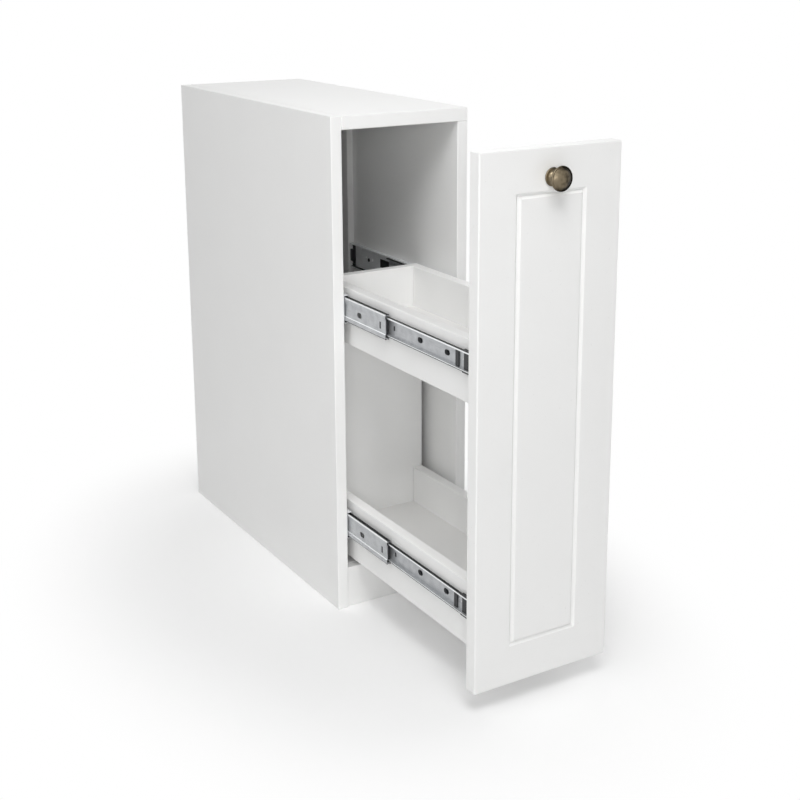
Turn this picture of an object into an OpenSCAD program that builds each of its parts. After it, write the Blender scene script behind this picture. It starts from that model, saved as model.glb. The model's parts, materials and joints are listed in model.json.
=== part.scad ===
// Narrow kitchen base cabinet with a pull-out front, in millimetres.
// A tall front, a common back panel, an upper drawer and a lower tray make one pull-out,
// which runs in the carcass on four telescopic ball-bearing slides. It stands open at rest.
// Origin: on the floor, midway across the carcass, in the plane of its front edges.
// +X is to the right as seen from the front, +Y goes back to the wall and +Z is up.

/* [Carcass] */
// Width over both side boards
cab_w = 250; // [220:1:400]
// Depth from the front edges to the wall
cab_d = 600; // [550:1:650]
// Height from the floor to the top
cab_h = 820; // [720:1:900]
// Thickness of the two side boards
side_t = 19; // [18:0.5:25]
// Thickness of the top board
top_t = 22; // [18:0.5:28]
// Thickness of the bottom board
base_t = 18; // [16:0.5:22]
// Thickness of the back panel
back_t = 8; // [5:0.5:10]
// Depth of the grooves that hold the back panel
back_groove = 7; // [4:0.5:8]
// Thickness of the rear rail, which lies behind the back panel
rear_rail_t = 18; // [16:0.5:22]
// Height of the rear rail
rear_rail_h = 100; // [70:1:140]
// Distance between the two wall screw holes in the rear rail
wall_hole_gap = 120; // [60:1:140]
// Diameter of the wall screw holes
wall_hole_d = 5.5; // [4:0.5:7]
// Height of the kickboard
kick_h = 70; // [50:1:75]
// Thickness of the kickboard
kick_t = 16; // [12:0.5:20]
// How far the kickboard lies behind the front edges
kick_setback = 3; // [0:0.5:10]
// Depth of the guide battens, from front to back
batten_w = 60; // [40:1:80]
// Gap between the guide battens and the pull-out
guide_clear = 0.7; // [0.5:0.1:2]
// Small chamfer along the edges of the boards
edge_ease = 0.6; // [0.3:0.1:1]

/* [Pull-out] */
// How far short of its end stop the pull-out stands at rest
stop_short = 9.5; // [0:0.5:350]
// Gap between the carcass and the front when it is shut
shut_gap = 1.5; // [1.5:0.1:3]
// Inside length of the drawer and the tray
box_len = 463; // [400:1:520]
// Thickness of the drawer and tray sides
box_side_t = 18; // [16:0.5:20]
// Thickness of the common back panel of the pull-out
box_back_t = 18; // [16:0.5:20]
// Thickness of the drawer and tray floors
box_floor_t = 12; // [9:0.5:14]
// How deep the floors lie in grooves of the sides
floor_tongue = 6; // [4:0.5:8]
// Running gap between a floor's edge and its groove
floor_gap = 0.1; // [0.05:0.05:0.3]
// Height of the upper drawer's lower edge above the floor of the room
upper_z = 452.5; // [400:0.5:500]
// Height of the upper drawer's sides
upper_h = 93; // [88:0.5:120]
// Height of the upper drawer's floor above its lower edge
upper_floor_up = 12; // [8:0.5:20]
// Height of the tray's lower edge above the floor of the room
lower_z = 82.5; // [80:0.5:100]
// Height of the tray's sides
lower_h = 101; // [95:0.5:120]
// Height of the tray's floor above its lower edge
lower_floor_up = 24; // [12:0.5:30]

/* [Front] */
// How far the front's side edges lie inside the carcass's outer faces
front_side_gap = 7; // [1:0.5:10]
// How far the front's upper edge lies below the top of the carcass
front_top_gap = 7.5; // [1:0.5:15]
// Thickness of the front
front_t = 22; // [18:0.5:25]
// Height of the front's lower edge above the floor of the room
front_z = 36.5; // [30:0.5:60]
// Rounding of the front's outer edges
front_edge_r = 2; // [1:0.5:4]
// Width of the plain frame outside the routed groove
frame_w = 59; // [40:1:75]
// Width of the routed groove
rout_w = 8.5; // [6:0.5:12]
// Depth of the routed groove
rout_d = 3.4; // [2:0.1:6]
// Width of the flat bottom of the routed groove
rout_floor = 1.5; // [1:0.5:3]

/* [Knob] */
// Diameter of the knob's head
knob_d = 35; // [28:0.5:40]
// How far the knob stands out of the front
knob_reach = 27; // [22:0.5:32]
// Diameter of the knob's foot
knob_foot_d = 26; // [20:0.5:30]
// Diameter of the knob's neck
knob_neck_d = 12; // [9:0.5:14]
// Height of the knob's centre below the top of the front
knob_drop = 41; // [25:0.5:48]
// Diameter of the knob's screw
knob_screw_d = 4; // [3:0.5:5]
// Depth of the threaded hole in the knob
knob_thread = 10; // [6:0.5:12]

/* [Slides] */
// Length of the rails fixed in the carcass
slide_len = 350; // [300:1:450]
// Height of the rails fixed in the carcass
slide_h = 45.5; // [44:0.5:50]
// Thickness of a complete slide
slide_t = 12.7; // [12.5:0.1:14]
// How far the rails lie behind the carcass's front edges
slide_setback = 2; // [1:0.5:10]
// How much further than their own length the slides run out
over_travel = 31; // [0:1:40]
// Height of the upper slides' centre line above the drawer's lower edge
upper_slide_up = 61.5; // [45:0.5:65]
// Height of the lower slides' centre line above the tray's lower edge
lower_slide_up = 63.5; // [50:0.5:70]
// Thickness of the rolled sheet steel
sheet = 1.2; // [1:0.1:1.4]
// How much shorter the middle rails are
middle_short = 10; // [10:1:20]
// How much shorter the drawer rails are
drawer_short = 15; // [12:1:25]
// Share of the pull-out's travel that the middle rails make
middle_share = 0.34; // [0.3:0.01:0.5]
// Distance from the carcass rails' front ends to their first screws
rail_screw_in = 35; // [30:1:40]
// Pitch of the rows of holes that the carcass rails' screws use
hole_pitch = 32; // [25:1:32]
// Length of the plastic stops in the middle rails' front ends
stop_len = 20; // [14:1:24]
// Length of the plastic caps on the drawer rails' front ends
cap_len = 40; // [34:1:48]
// Balls in each row between the carcass rail and the middle rail
outer_balls = 8; // [4:1:10]
// Balls in each row between the middle rail and the drawer rail
inner_balls = 6; // [4:1:7]
// Diameter of the balls between the carcass rail and the middle rail
outer_ball_d = 2.4; // [2:0.1:2.6]
// Diameter of the balls between the middle rail and the drawer rail
inner_ball_d = 2.8; // [2.4:0.1:3]
// Gap between a ball and its races
ball_gap = 0.25; // [0.2:0.05:0.3]

/* [Fittings] */
// Diameter of the cam housings
cam_d = 15; // [12:0.5:16]
// Depth of the cam housings
cam_t = 12.5; // [10:0.5:13]
// Distance from a board's end to the middle of a cam
cam_reach = 24; // [20:1:34]
// Distance from the carcass's front edges to its front cams
cam_from_front = 70; // [60:1:120]
// Distance from the carcass's rear edges to its rear cams
cam_from_back = 110; // [100:1:160]
// Diameter of the cam bolts
cam_bolt_d = 5; // [4:0.5:6]
// Depth of a cam bolt in the board that it is screwed into
cam_bolt_in = 11; // [8:0.5:12]
// Diameter of the wooden dowels
dowel_d = 8; // [6:0.5:8]
// Length of the wooden dowels
dowel_len = 30; // [24:1:35]
// Depth of a dowel in the face of a board
dowel_in = 10; // [8:0.5:12]
// Distance from the carcass's front edges to its front dowels
dowel_from_front = 40; // [30:1:50]
// Distance from the carcass's rear edges to its rear dowels
dowel_from_back = 80; // [60:1:90]
// Distance from a drawer side's upper edge to its cam
cam_from_top = 23; // [18:1:30]
// Distance from a drawer side's upper edge to its dowel
dowel_from_top = 49; // [42:1:60]
// Diameter of the rail screws
rail_screw_d = 3.5; // [3:0.5:4]
// Length of the rail screws in the wood
rail_screw_len = 13; // [10:0.5:14]
// Length of the guide battens' screws
batten_screw_len = 25; // [20:1:28]
// Diameter of the long screws through the pull-out's back panel
long_screw_d = 5; // [4:0.5:6]
// Length of the long screws
long_screw_len = 50; // [40:1:60]
// Distance from a drawer side's upper edge to its upper long screw
long_screw_in = 25; // [15:1:30]
// Distance from a drawer's floor to the lower long screws
long_screw_over_floor = 8; // [5:1:12]
// Gap round each fitting in its hole
fit_gap = 0.05; // [0.05:0.01:0.1]

/* [Hidden] */
$fn = 48;
WHITE = "#f4f4f3";
PANEL = "#ececea";
ZINC = "#a3a8ad";
BLACK = "#232426";
BRASS = "#6b6149";
BEECH = "#d9bd93";
cut = 1; // how far a cutter runs past a face
skim = 0.01; // how far one cutter runs past another that ends on the same plane

// Carcass
inner_w = cab_w - 2 * side_t;
rear_rail_y = cab_d - rear_rail_t;
back_y = rear_rail_y - back_t;
top_z = cab_h - top_t;
base_z = kick_h - base_t;
wall_hole_z = top_z - rear_rail_h / 2;

// Pull-out: its own lengths run back from the front's rear face
box_w = inner_w - 2 * slide_t;
box_in_w = box_w - 2 * box_side_t;
upper_top = upper_z + upper_h;
travel = slide_len + over_travel;
pulled = travel - stop_short;
open_by = shut_gap + pulled;

// Front and knob
front_w = cab_w - 2 * front_side_gap;
front_h = cab_h - front_top_gap - front_z;
knob_z = front_z + front_h - knob_drop;
bumper_d = 10;
bumper_t = shut_gap - 0.3;
bumper_x = (inner_w / 2 + front_w / 2) / 2;
bumper_inset = 25;
knob_head_t = 2.4;

// Slide section, from the side board's face at 0 to the drawer side at slide_t
outer_flange = sheet * 1.5;
middle_flange = sheet * 2;
inner_flange = sheet * 1.8;
outer_race = outer_ball_d * 0.6;
inner_race = inner_ball_d * 0.78;
outer_half = slide_h / 2;
middle_half = outer_half - outer_flange - outer_race;
inner_half = middle_half - middle_flange - inner_race;
outer_reach = slide_t - 3.5;
middle_x = sheet + 0.7;
middle_reach = slide_t - 3;
middle_dish = 1.1;
middle_band = 8.5;
inner_x = slide_t - sheet;
inner_open_x = middle_x + middle_dish + sheet + 1.8;
outer_ball_x = (sheet + outer_reach) / 2 + 0.8;
outer_ball_z = middle_half + outer_race / 2;
inner_ball_x = inner_open_x + 1.9;
inner_ball_z = inner_half + inner_race / 2;
bend_r = sheet * 1.6;
cage_t = 0.7;
cage_wall = 0.8;

// Slide lengths and places
middle_len = slide_len - middle_short;
drawer_len = slide_len - drawer_short;
middle_y = slide_setback - pulled * middle_share;
drawer_y = slide_setback - pulled;

// Each ball cage is as long as the overlap of its two rails at full travel, less a lead and a tail,
// and rolls at the mean of their speeds
cage_lead = 6;
inner_cage_lead = stop_len + 2;
cage_tail = 16;
outer_cage_len = middle_len - travel * middle_share - cage_lead - cage_tail;
outer_cage_y = slide_setback + cage_lead + stop_short * middle_share / 2;
inner_cage_len = drawer_len - travel * (1 - middle_share) - inner_cage_lead - cage_tail;
inner_cage_y = slide_setback - travel * middle_share + inner_cage_lead + stop_short * (1 + middle_share) / 2;

// End pieces of the rails
rear_bumper_len = 8;
cap_plate_t = 2;
clip_from_cap = 13.5;
clip_len = 8;
clip_y = cap_len + clip_from_cap;
stop_inset = 0.3;
stop_tongue = [1.5, 8];
stop_clear = 0.5;
batten_t = slide_t - guide_clear;
batten_y = slide_setback + slide_len + 1;
batten_screw_in = 80;
batten_screw_z = [kick_h + batten_screw_in, (kick_h + top_z) / 2, top_z - batten_screw_in];

// Screws and punched holes of the rails, as distances from each rail's front end
rail_end_clear = 40;
last_pitch = floor((slide_len - rail_screw_in - rail_end_clear) / hole_pitch);
carcass_screws = [for (n = [0, round(last_pitch / 2), last_pitch]) rail_screw_in + n * hole_pitch];
front_window = [carcass_screws[0] + 25, carcass_screws[0] + 49];
rear_window = [carcass_screws[2] - 72, carcass_screws[2] - 40];
rear_window_z = [-6, 10];
rear_holes = [[carcass_screws[2] - 13, 2], [carcass_screws[2] + 10, 4]];
rear_hole_d = 4.5;
drawer_screws = [clip_y + 32, clip_y + 105, drawer_len - 45];
drawer_pilot_hole = [clip_y - 7.5, 0, 4];
drawer_oval = [drawer_len - 102.3, 4, 8];
middle_slot = [stop_len - 6.5, stop_len - 2];
middle_slot_half = 5.5;
middle_holes = [stop_len + 60.5, middle_len - 60];
middle_hole = [14, 8.5];
screw_head_d = 7;
screw_head_t = 1;
washer = [12.5, 8];
washer_t = 0.6;
flat_head_t = 1.2;

// Fittings
cross_w = 1; // width of the cross recess in cams and screws
carcass_fix_y = [cam_from_front, cab_d - cam_from_back];
carcass_dowel_y = [dowel_from_front, cab_d / 2, cab_d - dowel_from_back];
long_head_t = 1;

SLIDES = [
    ["upper_left", -1, upper_z + upper_slide_up],
    ["upper_right", 1, upper_z + upper_slide_up],
    ["lower_left", -1, lower_z + lower_slide_up],
    ["lower_right", 1, lower_z + lower_slide_up],
];
SLIDE_PARTS = ["carcass_rail", "middle_rail", "front_stop", "outer_balls", "inner_balls", "drawer_rail"];
BOXES = [
    ["upper", upper_z, upper_h, upper_floor_up],
    ["lower", lower_z, lower_h, lower_floor_up],
];
SIDES = [["left", -1], ["right", 1]];

// A flat outline with small chamfers at its four corners
module eased(a, b, e) {
    polygon([[a[0] + e, a[1]], [b[0] - e, a[1]], [b[0], a[1] + e], [b[0], b[1] - e],
             [b[0] - e, b[1]], [a[0] + e, b[1]], [a[0], b[1] - e], [a[0], a[1] + e]]);
}

// Extrusions of a flat outline: XZ along Y, YZ along X
module along_y(y0, y1) {
    translate([0, y1, 0]) rotate([90, 0, 0]) linear_extrude(y1 - y0) children();
}
module along_x(x0, x1) {
    translate([x0, 0, 0]) rotate([90, 0, 90]) linear_extrude(x1 - x0) children();
}

// A board between two corners, with its edges eased
module board(lo, hi, e = edge_ease) {
    intersection() {
        translate([0, 0, lo[2]]) linear_extrude(hi[2] - lo[2]) eased([lo[0], lo[1]], [hi[0], hi[1]], e);
        along_y(lo[1], hi[1]) eased([lo[0], lo[2]], [hi[0], hi[2]], e);
        along_x(lo[0], hi[0]) eased([lo[1], lo[2]], [hi[1], hi[2]], e);
    }
}

// A plain block between two corners
module block(lo, hi) {
    translate(lo) cube(hi - lo);
}

// Round bars and bores along X or Y, from one end to the other
module rod_x(d, x0, x1) {
    translate([x0, 0, 0]) rotate([0, 90, 0]) cylinder(d = d, h = x1 - x0);
}
// An oblong rod along X, as long as its size along Y and as high as its size along Z
module oblong_x(size, x0, x1) {
    d = min(size);
    along_x(x0, x1) {
        square([size[0] - (size[0] > d ? d : 0), size[1] - (size[1] > d ? d : 0)], center = true);
        for (k = [-1, 1])
            translate([k * (size[0] - d) / 2, k * (size[1] - d) / 2]) circle(d = d);
    }
}
module rod_y(d, y0, y1) {
    translate([0, y0, 0]) rotate([-90, 0, 0]) cylinder(d = d, h = y1 - y0);
}

// The pull-out's own frame: Y runs back from the front's rear face
module on_pullout() {
    translate([0, -open_by, 0]) children();
}

// Puts a part drawn for a left slide at its side and height; the right side is its mirror image
module at_slide(s) {
    translate([s[1] * inner_w / 2, 0, s[2]]) mirror([s[1] > 0 ? 1 : 0, 0, 0]) children();
}

// The same for a part of both side boards, drawn on the left one from its inner face
module at_side(k) {
    translate([k * inner_w / 2, 0, 0]) mirror([k > 0 ? 1 : 0, 0, 0]) children();
}

// Carcass joints: dowels and cam bolts lie along X, where a board's end meets a side board.
// Each joint is [side, y, z], with side -1 on the left and 1 on the right
function end_joints(ys, z, sides) = [for (k = sides, y = ys) [k, y, z]];
carcass_x_dowels = concat(
    end_joints(carcass_dowel_y, base_z + base_t / 2, [-1, 1]),
    end_joints(carcass_dowel_y, top_z + top_t / 2, [-1]),
    end_joints([kick_setback + kick_t / 2], kick_h * 0.4, [-1, 1]),
    end_joints([rear_rail_y + rear_rail_t / 2], top_z - rear_rail_h * 0.25, [-1, 1]),
    end_joints([rear_rail_y + rear_rail_t / 2], top_z - rear_rail_h * 0.75, [-1, 1]));
carcass_cam_joints = concat(
    end_joints(carcass_fix_y, base_z + base_t / 2, [-1, 1]),
    end_joints(carcass_fix_y, top_z + top_t / 2, [-1]));

// Dowels through carcass joints, with room round them where gap is given
module x_dowels(gap) {
    for (j = carcass_x_dowels)
        at_side(j[0]) translate([0, j[1], j[2]])
            rod_x(dowel_d + 2 * gap, -dowel_in - 2 * gap, dowel_len - dowel_in + 2 * gap);
}
module z_dowels(gap) {
    for (y = carcass_dowel_y)
        translate([cab_w / 2 - side_t / 2, y, top_z - (dowel_len - dowel_in) - 2 * gap])
            cylinder(d = dowel_d + 2 * gap, h = dowel_len + 4 * gap);
}

// Cam bolts along X at the carcass joints, and the cam housings under the boards
module carcass_bolts(gap) {
    for (j = carcass_cam_joints)
        at_side(j[0]) translate([0, j[1], j[2]])
            rod_x(cam_bolt_d + 2 * gap, -cam_bolt_in - 2 * gap, cam_reach);
}
module carcass_cam_seats(gap, deep) {
    for (j = carcass_cam_joints)
        let (under = j[2] > cab_h / 2 ? top_z : base_z)
        translate([j[0] * (inner_w / 2 - cam_reach), j[1], under - deep])
            cylinder(d = cam_d + 2 * gap, h = cam_t + gap + deep);
}

// Screws that hold the carcass rails; the heads lie flat inside the rail
module carcass_screw_shanks(gap) {
    for (s = SLIDES, y = carcass_screws)
        at_slide(s) translate([0, slide_setback + y, 0])
            rod_x(rail_screw_d + 2 * gap, -rail_screw_len - gap, sheet);
}

// Screws of the guide battens, sunk flush with the battens' faces
module batten_screw_shapes(gap) {
    for (k = [-1, 1], z = batten_screw_z)
        at_side(k) translate([0, batten_y + batten_w / 2, z]) {
            rod_x(rail_screw_d + 2 * gap, batten_t - batten_screw_len - gap, batten_t - flat_head_t);
            rod_x(screw_head_d + 2 * gap, batten_t - flat_head_t - gap, batten_t);
        }
}

// Grooves for the back panel, in every board round it
module back_slot() {
    block([-inner_w / 2 - back_groove - fit_gap, back_y - fit_gap, base_z - cut],
          [inner_w / 2 + back_groove + fit_gap, back_y + back_t + fit_gap, top_z + back_groove + fit_gap]);
}

// The left side board runs to full height
module side_left() {
    color(WHITE) difference() {
        board([-cab_w / 2, 0, 0], [-inner_w / 2, cab_d, cab_h]);
        back_slot();
        batten_screw_shapes(fit_gap);
        x_dowels(fit_gap);
        carcass_bolts(fit_gap);
        carcass_screw_shanks(fit_gap);
    }
}

// The right side board ends under the top board
module side_right() {
    color(WHITE) difference() {
        board([inner_w / 2, 0, 0], [cab_w / 2, cab_d, top_z]);
        back_slot();
        batten_screw_shapes(fit_gap);
        x_dowels(fit_gap);
        z_dowels(fit_gap);
        carcass_bolts(fit_gap);
        carcass_screw_shanks(fit_gap);
    }
}

// The top board butts against the left side and covers the right one
module top_panel() {
    color(WHITE) difference() {
        board([-inner_w / 2, 0, top_z], [cab_w / 2, cab_d, cab_h]);
        back_slot();
        x_dowels(fit_gap);
        z_dowels(fit_gap);
        carcass_bolts(fit_gap);
        carcass_cam_seats(fit_gap, cut);
    }
}

// The bottom board lies behind the kickboard, level with its upper edge
module bottom_panel() {
    color(PANEL) difference() {
        board([-inner_w / 2, kick_setback + kick_t, base_z], [inner_w / 2, cab_d, kick_h]);
        translate([0, 0, kick_h - back_groove - base_z]) back_slot();
        x_dowels(fit_gap);
        carcass_bolts(fit_gap);
        carcass_cam_seats(fit_gap, cut);
    }
}

module back_panel() {
    color(PANEL) difference() {
        block([-inner_w / 2 - back_groove, back_y, kick_h - back_groove + cut / 2],
              [inner_w / 2 + back_groove, back_y + back_t, top_z + back_groove]);
        wall_holes();
    }
}

// Holes for the wall screws, through the rear rail and the back panel
module wall_holes() {
    for (k = [-1, 1])
        translate([k * wall_hole_gap / 2, 0, wall_hole_z]) rod_y(wall_hole_d, back_y - cut, cab_d + cut);
}

module rear_rail() {
    color(PANEL) difference() {
        board([-inner_w / 2, rear_rail_y, top_z - rear_rail_h], [inner_w / 2, cab_d, top_z]);
        wall_holes();
        x_dowels(fit_gap);
    }
}

module kickboard() {
    color(WHITE) difference() {
        board([-inner_w / 2, kick_setback, 0], [inner_w / 2, kick_setback + kick_t, kick_h]);
        x_dowels(fit_gap);
    }
}

// Battens on the side boards behind the slides guide the tail of the pull-out as it goes in
module guide_batten(k) {
    color(WHITE) difference() {
        at_side(k) board([0, batten_y, kick_h], [batten_t, batten_y + batten_w, top_z]);
        batten_screw_shapes(fit_gap);
    }
}

module batten_screws() {
    color(ZINC) difference() {
        batten_screw_shapes(0);
        for (k = [-1, 1], z = batten_screw_z, a = [0, 90])
            at_side(k) translate([batten_t, batten_y + batten_w / 2, z]) rotate([a, 0, 0])
                block([-flat_head_t / 2, -screw_head_d / 4, -cross_w / 2],
                      [cut, screw_head_d / 4, cross_w / 2]);
    }
}

// Cam housing with its cross recess, standing on its open face at z = 0, bolt hole along X
module cam() {
    difference() {
        cylinder(d = cam_d, h = cam_t);
        for (a = [0, 90])
            rotate(a) block([-cam_d / 4, -cross_w / 2, -cut], [cam_d / 4, cross_w / 2, cam_t / 8]);
        children();
    }
}

module carcass_cams() {
    color(ZINC) for (j = carcass_cam_joints)
        let (under = j[2] > cab_h / 2 ? top_z : base_z)
        translate([j[0] * (inner_w / 2 - cam_reach), j[1], under])
            cam() translate([0, 0, j[2] - under]) mirror([j[0] > 0 ? 0 : 1, 0, 0])
                rod_x(cam_bolt_d + 1, -fit_gap, cam_d);
}

module carcass_cam_bolts() {
    color(ZINC) carcass_bolts(0);
}

module carcass_dowels() {
    color(BEECH) {
        x_dowels(0);
        z_dowels(0);
    }
}

module carcass_rail_screws() {
    color(BLACK) {
        carcass_screw_shanks(0);
        for (s = SLIDES, y = carcass_screws)
            at_slide(s) translate([sheet, slide_setback + y, 0]) rod_x(screw_head_d, 0, flat_head_t);
    }
}

// Rubber blocks in the rear ends of the carcass rails, which stop the middle rails, and the plastic
// tongues that fill the rails' rear windows
module rail_rear_bumpers() {
    half = middle_half - middle_band;
    color(BLACK) for (s = SLIDES)
        at_slide(s) translate([0, slide_setback + slide_len - rear_bumper_len, 0]) {
            along_y(0, rear_bumper_len) {
                translate([sheet, -half]) square([outer_reach - sheet - 1, 2 * half]);
                for (k = [-1, 1])
                    translate([sheet, k * (outer_half - outer_flange - 2) - 2]) square([2.5, 4]);
            }
            block([sheet, 0, -outer_half + outer_flange + 1],
                  [sheet + 1.5, rear_bumper_len, outer_half - outer_flange - 1]);
        }
    color(BLACK) for (s = SLIDES)
        at_slide(s) translate([0, slide_setback, 0])
            block([0, rear_window[0] + fit_gap, rear_window_z[0] + fit_gap],
                  [sheet - 0.2, rear_window[1] - fit_gap, rear_window_z[1] - fit_gap]);
}

// A channel of rolled sheet: web at x = 0, flanges to x = reach, with rounded bends
module channel(reach, half, web, flange) {
    difference() {
        union() {
            translate([bend_r, -half]) square([reach - bend_r, 2 * half]);
            translate([0, -half + bend_r]) square([bend_r, 2 * (half - bend_r)]);
            for (k = [-1, 1])
                translate([bend_r, k * (half - bend_r)]) circle(r = bend_r);
        }
        translate([web, -half + flange]) square([reach, 2 * (half - flange)]);
    }
}

// Ball races along both flanges
module races(x, z, d) {
    for (k = [-1, 1])
        translate([x, k * z]) circle(d = d + 2 * ball_gap);
}

module carcass_rail() {
    color(ZINC) difference() {
        along_y(slide_setback, slide_setback + slide_len) difference() {
            channel(outer_reach, outer_half, sheet, outer_flange);
            races(outer_ball_x, outer_ball_z, outer_ball_d);
        }
        translate([0, slide_setback, 0]) {
            for (y = carcass_screws)
                translate([0, y, 0]) rod_x(rail_screw_d + 2 * fit_gap, -cut, sheet + cut);
            block([-cut, front_window[0], -5], [sheet + cut, front_window[1], 5]);
            block([-cut, rear_window[0], rear_window_z[0]], [sheet + cut, rear_window[1], rear_window_z[1]]);
            for (h = rear_holes)
                translate([0, h[0], h[1]]) rod_x(rear_hole_d, -cut, sheet + cut);
        }
    }
}

// The middle rail's web is dished away from the screw heads and has races on both faces of its flanges
module middle_profile() {
    dish_half = middle_half - middle_band;
    difference() {
        union() {
            difference() {
                translate([middle_x, 0])
                    channel(middle_reach - middle_x, middle_half, sheet, middle_flange);
                translate([0, -dish_half]) square([middle_x + sheet + cut, 2 * dish_half]);
            }
            translate([middle_x + middle_dish, -dish_half - sheet])
                square([sheet, 2 * (dish_half + sheet)]);
            for (k = [-1, 1])
                translate([middle_x, k * (dish_half + sheet / 2) - sheet / 2])
                    square([middle_dish + sheet, sheet]);
        }
        races(outer_ball_x, outer_ball_z, outer_ball_d);
        races(inner_ball_x, inner_ball_z, inner_ball_d);
    }
}

module middle_rail() {
    color(ZINC) translate([0, middle_y, 0]) difference() {
        along_y(0, middle_len) middle_profile();
        block([-cut, middle_slot[0], -middle_slot_half], [slide_t, middle_slot[1], middle_slot_half]);
        for (y = middle_holes)
            translate([0, y, 0]) oblong_x(middle_hole, -cut, slide_t);
    }
}

// Plastic stop inside the front end of the middle rail. Its plate lies behind the web, its tongue
// reaches into the drawer rail's channel, and its lug sits in the web's slot
module front_stop() {
    inside = middle_half - middle_flange - stop_clear;
    tongue_half = inner_half - inner_flange - stop_clear;
    web_in = middle_x + middle_dish + sheet;
    plate_in = inner_open_x - stop_clear;
    color(BLACK) translate([0, middle_y, 0]) {
        block([web_in, stop_inset, -inside], [plate_in, stop_len, inside]);
        block([web_in, stop_tongue[0], -tongue_half],
              [inner_x - cap_plate_t - stop_clear, stop_tongue[1], tongue_half]);
        block([web_in - sheet + 0.3, middle_slot[0] + fit_gap, -middle_slot_half + fit_gap],
              [plate_in, middle_slot[1] - fit_gap, middle_slot_half - fit_gap]);
    }
}

// Two rows of balls held in thin strips between the carcass rail and the middle rail
module outer_ball_rows() {
    pitch = outer_cage_len / outer_balls;
    color(ZINC) translate([0, outer_cage_y, 0]) for (k = [-1, 1]) {
        difference() {
            block([outer_ball_x - 3, 0, k * outer_ball_z - cage_t / 2],
                  [outer_ball_x + 2.8, outer_cage_len, k * outer_ball_z + cage_t / 2]);
            for (i = [0 : outer_balls - 1])
                translate([outer_ball_x, (i + 0.5) * pitch, k * outer_ball_z - cut])
                    cylinder(d = outer_ball_d + 0.2, h = 2 * cut);
        }
        for (i = [0 : outer_balls - 1])
            translate([outer_ball_x, (i + 0.5) * pitch, k * outer_ball_z]) sphere(d = outer_ball_d);
    }
}

// Two rows of balls in one channel-shaped retainer between the middle rail and the drawer rail
module inner_ball_rows() {
    pitch = inner_cage_len / inner_balls;
    web_x = middle_x + middle_dish + sheet + 0.5;
    strip_w = inner_ball_x + 2 - web_x;
    color(ZINC) translate([0, inner_cage_y, 0]) {
        difference() {
            along_y(0, inner_cage_len) {
                translate([web_x, -inner_ball_z]) square([cage_wall, 2 * inner_ball_z]);
                for (k = [-1, 1])
                    translate([web_x, k * inner_ball_z - cage_t / 2]) square([strip_w, cage_t]);
            }
            for (k = [-1, 1], i = [0 : inner_balls - 1])
                translate([inner_ball_x, (i + 0.5) * pitch, k * inner_ball_z - cut])
                    cylinder(d = inner_ball_d + 0.2, h = 2 * cut);
        }
        for (k = [-1, 1], i = [0 : inner_balls - 1])
            translate([inner_ball_x, (i + 0.5) * pitch, k * inner_ball_z]) sphere(d = inner_ball_d);
    }
}

// The drawer rail's channel opens towards the carcass, with races outside its flanges
module drawer_rail() {
    color(ZINC) translate([0, drawer_y, 0]) difference() {
        along_y(0, drawer_len) difference() {
            translate([slide_t, 0]) mirror([1, 0])
                channel(slide_t - inner_open_x, inner_half, sheet, inner_flange);
            races(inner_ball_x, inner_ball_z, inner_ball_d);
        }
        for (y = drawer_screws)
            translate([0, y, 0]) rod_x(rail_screw_d + 2 * fit_gap, inner_x - cut, slide_t + cut);
        translate([0, drawer_pilot_hole[0], drawer_pilot_hole[1]])
            rod_x(drawer_pilot_hole[2], inner_x - cut, slide_t + cut);
        translate([0, drawer_oval[0], 0])
            oblong_x([drawer_oval[1], drawer_oval[2]], inner_x - cut, slide_t + cut);
        block([inner_x - cut, clip_y, -inner_half + inner_flange],
              [slide_t + cut, clip_y + clip_len, inner_half - inner_flange]);
    }
}

// Plastic caps on the front ends of the drawer rails, the clip that holds each in the web, and the plug
// in each rail's oval hole
module drawer_rail_caps() {
    rise = inner_race - 0.5;
    inside = inner_half - inner_flange;
    color(BLACK) for (s = SLIDES) at_slide(s) translate([0, drawer_y, 0]) {
        for (k = [-1, 1])
            block([inner_open_x + 0.5, 0, k * (inner_half + rise / 2) - rise / 2],
                  [slide_t - 0.5, cap_len, k * (inner_half + rise / 2) + rise / 2]);
        block([inner_x - cap_plate_t, 0, -inside], [inner_x, cap_len, inside]);
        block([inner_x - cap_plate_t, clip_y, -inside], [slide_t, clip_y + clip_len, inside]);
        translate([0, drawer_oval[0], 0])
            oblong_x([drawer_oval[1] - 2 * fit_gap, drawer_oval[2] - 2 * fit_gap], inner_x - 0.3, slide_t);
    }
}

module drawer_screw_shanks(gap) {
    for (s = SLIDES, y = drawer_screws)
        at_slide(s) translate([0, drawer_y + y, 0])
            rod_x(rail_screw_d + 2 * gap, inner_x, slide_t + rail_screw_len + gap);
}

module drawer_rail_screws() {
    color(BLACK) {
        drawer_screw_shanks(0);
        for (s = SLIDES, y = drawer_screws)
            at_slide(s) translate([0, drawer_y + y, 0]) difference() {
                union() {
                    rod_x(screw_head_d, inner_x - washer_t - screw_head_t, inner_x);
                    oblong_x(washer, inner_x - washer_t, inner_x);
                }
                for (a = [0, 90])
                    rotate([a, 0, 0])
                        block([0, -screw_head_d / 4, -cross_w / 2],
                              [inner_x - washer_t - screw_head_t / 2, screw_head_d / 4, cross_w / 2]);
            }
    }
}

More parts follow.
